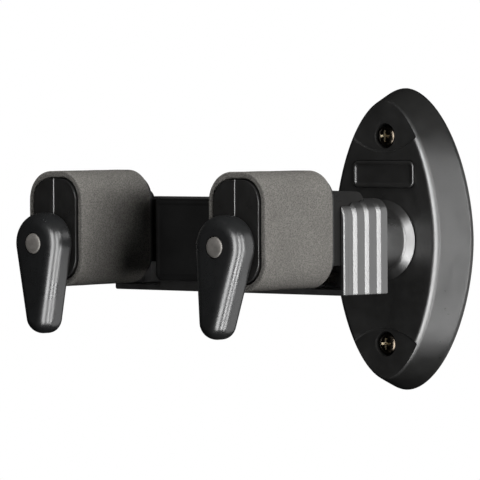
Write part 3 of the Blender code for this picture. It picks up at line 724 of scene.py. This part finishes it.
def build_arm_half(tag, side, half, facing):
    """One half of an arm. It lies on the facing side (-1 or 1 along X) of the arm's centre."""
    x = side * ARM_X
    name = f"{tag}_arm_{half}_half"
    arm = stadium_loft(name + "_fine", x, BARREL, BARREL_PROFILE)
    join(
        arm,
        stadium_loft("shoulder", x, SHOULDER, SHOULDER_PROFILE),
        loft("root", [[(x + way * ROOT_HALF, out, z) for out, z in ROOT] for way in (-1, 1)]),
    )
    cut(
        arm,
        rod("channel", "out", (x, 101, PIN_Z), 4.5, 52),
        block("tongue", (x - side * 12, x + side * 7.3), (80.5, 85.4), (5.2, 12.8)),
        block("root_step", (side * 20, side * 39), (70, 91.7), (14.3, 20)),
    )
    for z in ARM_SCREW_HEIGHTS:
        cut(arm, rod("screw", "x", (x + side * 0.6, ARM_SCREW_OUT, z), 1.4, 15.0, 24))
        if half == "outer":
            cut(arm, rod("screw_head", "x", (x + side * 7.9, ARM_SCREW_OUT, z), 2.5, 6, 32))
    cut(arm, block("parting", (x - facing * 20, x + facing * GAP / 2), (70, 130), (-20, 30)))
    soften(arm, width=0.22)
    if facing < 0:  # a rounded lip at the seam, on the half whose parting face looks to +X
        edge = x - GAP / 2
        cut(arm, loft("lip", [[(edge + past, out, z) for past, out in LIP] for z in (-20, 30)]))
    finish(arm, ARM, "carriage", name)


# ---- foam sleeves ----
SLEEVE = (10.97, 17.42, 8.77)  # half width, half height, corner radius
SLEEVE_WALL, SLEEVE_RIM = 1.96, 0.5  # wall thickness, radius of the rims
SLEEVE_BACK, SLEEVE_FRONT = 94.1, 124.9


def sleeve_section():
    """Points (inset, out) once round the section of the sleeve's wall."""
    wall, rim, back, front = SLEEVE_WALL, SLEEVE_RIM, SLEEVE_BACK, SLEEVE_FRONT
    flat = front - back - 2 * rim
    corners = ((wall - rim, front - rim, 0), (rim, front - rim, 90),
               (rim, back + rim, 180), (wall - rim, back + rim, 270))
    section = []
    for inset, out, start in corners:
        for k in range(8):
            angle = math.radians(start + 90 * k / 7)
            section.append((inset + rim * math.cos(angle), out + rim * math.sin(angle)))
        if start == 90:  # along the outside
            section += [(0.0, front - rim - flat * k / 44) for k in range(1, 44)]
        if start == 270:  # along the inside
            section += [(wall, back + rim + flat * k / 22) for k in range(1, 22)]
    return section


def sleeve_point(px, pz, nx, nz, inset, out, side):
    """Moves a point of the sleeve in by a waist and by noise, so that the foam looks uneven."""
    outer = max(0.0, 1 - inset / SLEEVE_WALL)
    broad = Vector((px * 0.16, out * 0.16, pz * 0.16)) + Vector((side * 7, 0, 0))
    fine = Vector((px * 0.9, out * 0.9, pz * 0.9))
    dip = 0.09 * (noise.noise(broad) + 1) / 2 + 0.035 * (noise.noise(fine) + 1) / 2
    along = (out - SLEEVE_BACK) / (SLEEVE_FRONT - SLEEVE_BACK)
    waist = 0.12 * math.sin(math.pi * along) ** 2
    depth = inset + (dip + waist * abs(nx)) * outer
    # the ends wave too, fading out 3 mm from each rim
    wave = 0.10 * noise.noise(Vector((px * 0.25, pz * 0.25, 3.0 + side)))
    end = abs(wave * max(0.0, 1 - min(SLEEVE_FRONT - out, out - SLEEVE_BACK) / 3.0))
    return (px - nx * depth, out - end * (1 if out > 109.5 else -1), pz - nz * depth)


def build_sleeve(tag, side):
    path = stadium(side * ARM_X, ARM_Z, SLEEVE, 200)
    rings = [[sleeve_point(*place, inset, out, side) for place in path]
             for inset, out in sleeve_section()]
    sleeve = loft(f"foam_sleeve_{tag}_fine", rings, closed=True)
    finish(sleeve, FOAM, "carriage", f"foam_sleeve_{tag}", sharp=80)


# ---- locking fingers and their shafts ----
FINGER_TILT = {"left": 0.0, "right": 7.5}  # degrees
FINGER_BIG, FINGER_SMALL, FINGER_REACH = 9.15, 5.1, 22.0  # end radii, distance between centres
# out, inset
FINGER_BACK = [(126.8, 1.6), (126.85, 0.9), (127.4, 0.25), (128.3, 0.0), (129.4, 0.0)]
# radius, out
FINGER_BORE = [(0, 137), (3.3, 137), (3.3, 130.9), (2.8, 130.9), (2.8, 124), (0, 124)]
SHAFT_DOME = [(0, 135.3), (1.5, 135.28), (2.55, 135.2), (2.95, 135.02), (3.1, 134.7), (3.1, 133.4)]
SHAFT_STEM = [(3.1, 131.3), (3.0, 131.2), (2.5, 131.2), (2.5, 77.2), (2.3, 77.0), (2.0, 77.0),
              (2.0, 73.6), (1.8, 73.4), (0, 73.4)]


def teardrop(x, z, tilt, inset, steps=64):
    """A big round end about (x, z) and a small one below it, joined by straight flanks."""
    big, small = FINGER_BIG - inset, FINGER_SMALL - inset
    lean = math.asin((FINGER_BIG - FINGER_SMALL) / FINGER_REACH)

    def arc(radius, start, end, drop):
        angles = [start + (end - start) * k / steps for k in range(steps + 1)]
        return [(radius * math.cos(angle), radius * math.sin(angle) - drop) for angle in angles]

    head = arc(big, -lean, math.pi + lean, 0.0)
    tip = arc(small, math.pi + lean, TAU - lean, FINGER_REACH)
    outline = head + between(head[-1], tip[0]) + tip + between(tip[-1], head[0])
    cos, sin = math.cos(tilt), math.sin(tilt)
    return [(x + px * cos - pz * sin, z + px * sin + pz * cos) for px, pz in outline]


def build_finger(tag, side):
    x, tilt = side * ARM_X, -side * math.radians(FINGER_TILT[tag])
    section = smooth_path(FINGER_BACK)
    for k in range(15):
        angle = math.pi / 2 * k / 14
        section.append((130.5 + 4.5 * math.sin(angle), 3.8 * (1 - math.cos(angle))))
    finger = loft(f"{tag}_finger_fine",
                  [lifted(teardrop(x, PIN_Z, tilt, inset), out) for out, inset in section])
    join(finger, rod("boss", "out", (x, 126.45, PIN_Z), 4.6, 1.3, 64))
    cut(finger, lathe("bore", FINGER_BORE, x, PIN_Z, 72))
    tidy(finger)
    finish(finger, FINGER, f"finger_{tag}", f"{tag}_finger",
           sharp=40, weighted=False)


def build_shaft(tag, side):
    profile = smooth_path(SHAFT_DOME) + SHAFT_STEM
    shaft = lathe(f"{tag}_finger_shaft_fine", profile, side * ARM_X, PIN_Z, 72)
    finish(shaft, PIN, f"finger_{tag}", f"{tag}_finger_shaft", sharp=40)


# ---- CAD pieces that keep their own shape ----
KEPT = {
    ZINC: ["back_plate", "carriage_crossbar"],
    STEEL: ["swivel_bolt", "swivel_lock_nut", "inner_washer", "swivel_stop_pin",
            "guide_rod_left", "guide_rod_right", "left_arm_screw_high", "left_arm_screw_low",
            "right_arm_screw_high", "right_arm_screw_low"],
    DARK: ["housing_screw_left", "housing_screw_right"],
    GEAR_SHADE: ["left_rack", "right_rack", "left_pinion", "right_pinion",
              "left_shaft_bush_rear", "right_shaft_bush_rear"],
    BRASS: ["left_shaft_bush_front", "right_shaft_bush_front"],
    WIRE: ["return_spring_left", "return_spring_right", "left_shaft_clip", "right_shaft_clip"],
    NYLON: ["thrust_washer"],
}


def dress_kept_pieces():
    for mat, names in KEPT.items():
        for name in names:
            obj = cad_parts[name]
            obj.data.materials.clear()
            obj.data.materials.append(mat)
            if not name.startswith("return_spring"):
                add_bevel(obj, width=0.12, angle=50)


def build_spring(tag):
    """A copy of the CAD spring, attached to the housing."""
    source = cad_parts[f"return_spring_{tag}"]
    spring = bpy.data.objects.new(f"return_spring_{tag}_fine", source.data.copy())
    bpy.context.scene.collection.objects.link(spring)
    finish(spring, WIRE, "yoke_housing", source.name, sharp=60)
    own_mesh(spring)


# ---- floor, light and camera, in metres ----
LIGHT_TARGET, LIGHT_DISTANCE = (0, -0.07, 0), 1.5
# Soft boxes shape the diffuse light, and gloss strips only draw highlights.
# name, azimuth and elevation in degrees, size, power in watts, kind
LIGHTS = (
    ("key_soft", 74, 3, (0.75, 0.42), 31.0, "soft"),
    ("top_soft", -35, 72, (0.4, 0.5), 16.0, "soft"),
    ("front_soft", -6, 8, (0.5, 0.8), 2.3, "soft"),
    ("strip_left", 34, -6, (0.60, 2.6), 68.0, "gloss"),
    ("strip_mid", 71, -6, (0.20, 2.6), 52.0, "gloss"),
    ("strip_right", 98, -6, (0.26, 2.6), 44.0, "gloss"),
    ("rear_gloss", 138, -10, (1.1, 2.4), 13.0, "gloss"),
)
CAMERA_AZIMUTH, CAMERA_ELEVATION, CAMERA_ROLL = 40.709, 1.727, -0.351  # degrees
CAMERA_DISTANCE = 1.2055
CAMERA_AIM = (-0.0098, -0.070, 0.00129)
CAMERA_SHIFT = 0.00015  # moves the aim left and up in the view


def build_floor():
    shape = bmesh.new()
    bmesh.ops.create_grid(shape, x_segments=4, y_segments=4, size=0.62)
    floor = new_object("floor", shape)
    floor.location = (0, 0, -0.16)
    pale = Nodes("pale_floor")
    # clear from below, and glowing only to the camera
    backfacing = pale.add("ShaderNodeNewGeometry").outputs["Backfacing"]
    from_above = pale.remap(backfacing, span=(0, 1), onto=(1, 0))
    camera_ray = pale.add("ShaderNodeLightPath").outputs["Is Camera Ray"]
    glow = pale.remap(camera_ray, span=(0, 1), onto=(0, 0.62))
    tone = pale.mix(pale.noise(scale=3, detail=3), (0.80, 0.80, 0.79), (0.84, 0.84, 0.83))
    floor.data.materials.append(pale.into(
        Base_Color=tone, Roughness=0.75, Emission_Color=(1.0, 1.0, 0.99),
        Emission_Strength=glow, Alpha=from_above,
    ))
    # the floor neither reflects in the holder nor shades it
    floor.visible_glossy = floor.visible_diffuse = floor.visible_shadow = False


def build_world():
    """White to the camera, and almost dark as a light."""
    world = bpy.data.worlds.new("studio")
    bpy.context.scene.world = world
    world.use_nodes = True
    tree = world.node_tree
    background = tree.nodes["Background"]
    path = tree.nodes.new("ShaderNodeLightPath")
    strength = tree.nodes.new("ShaderNodeMapRange")
    strength.inputs["To Min"].default_value = 0.012
    strength.inputs["To Max"].default_value = 1.0
    tree.links.new(path.outputs["Is Camera Ray"], strength.inputs["Value"])
    tree.links.new(strength.outputs["Result"], background.inputs["Strength"])
    background.inputs["Color"].default_value = (1, 1, 1, 1)


def direction(azimuth, elevation):
    """Radians. Azimuth 0 is straight out from the wall, and a quarter turn is the viewer's right."""
    return Vector((
        math.sin(azimuth) * math.cos(elevation),
        -math.cos(azimuth) * math.cos(elevation),
        math.sin(elevation),
    ))


def build_light(name, azimuth, elevation, size, power, kind):
    data = bpy.data.lights.new(name, "AREA")
    data.shape, data.energy = "RECTANGLE", power
    data.size, data.size_y = size
    lamp = bpy.data.objects.new(name, data)
    bpy.context.scene.collection.objects.link(lamp)
    away = direction(math.radians(azimuth), math.radians(elevation))
    lamp.location = Vector(LIGHT_TARGET) + away * LIGHT_DISTANCE
    facing = lamp.location - Vector(LIGHT_TARGET)
    lamp.rotation_euler = facing.to_track_quat("Z", "Y").to_euler()
    lamp.visible_glossy, lamp.visible_diffuse = kind == "gloss", kind == "soft"


def build_camera():
    data = bpy.data.cameras.new("camera")
    data.lens, data.sensor_width = 294.0, 36.0
    data.clip_start, data.clip_end = 0.05, 20
    camera = bpy.data.objects.new("camera", data)
    bpy.context.scene.collection.objects.link(camera)
    azimuth, roll = math.radians(CAMERA_AZIMUTH), math.radians(CAMERA_ROLL)
    away = direction(azimuth, math.radians(CAMERA_ELEVATION))
    flat_right = Vector((math.cos(azimuth), math.sin(azimuth), 0))
    flat_up = away.cross(flat_right)
    right = flat_right * math.cos(roll) + flat_up * math.sin(roll)
    up = flat_up * math.cos(roll) - flat_right * math.sin(roll)
    aim = Vector(CAMERA_AIM) - right * CAMERA_SHIFT + up * CAMERA_SHIFT
    turn = Matrix((right, up, away)).transposed().to_4x4()
    camera.matrix_world = Matrix.Translation(aim + away * CAMERA_DISTANCE) @ turn
    bpy.context.scene.camera = camera
    bpy.context.scene.view_settings.view_transform = "Standard"


# ---- build, in order ----
build_cover()
build_nameplate()
for tag, side in PLATE_ENDS:
    build_wall_screw(tag, side * SCREW_Z)
build_neck()
build_housing()
build_front_cover()
build_cradle_pad()
for tag, side in SIDES:
    build_arm_half(tag, side, "outer", side)
    build_arm_half(tag, side, "inner", -side)
for tag, side in SIDES:
    build_sleeve(tag, side)
for tag, side in SIDES:
    build_finger(tag, side)
    build_shaft(tag, side)
dress_kept_pieces()
for tag, _ in SIDES:
    build_spring(tag)
build_floor()
build_world()
for light in LIGHTS:
    build_light(*light)
build_camera()
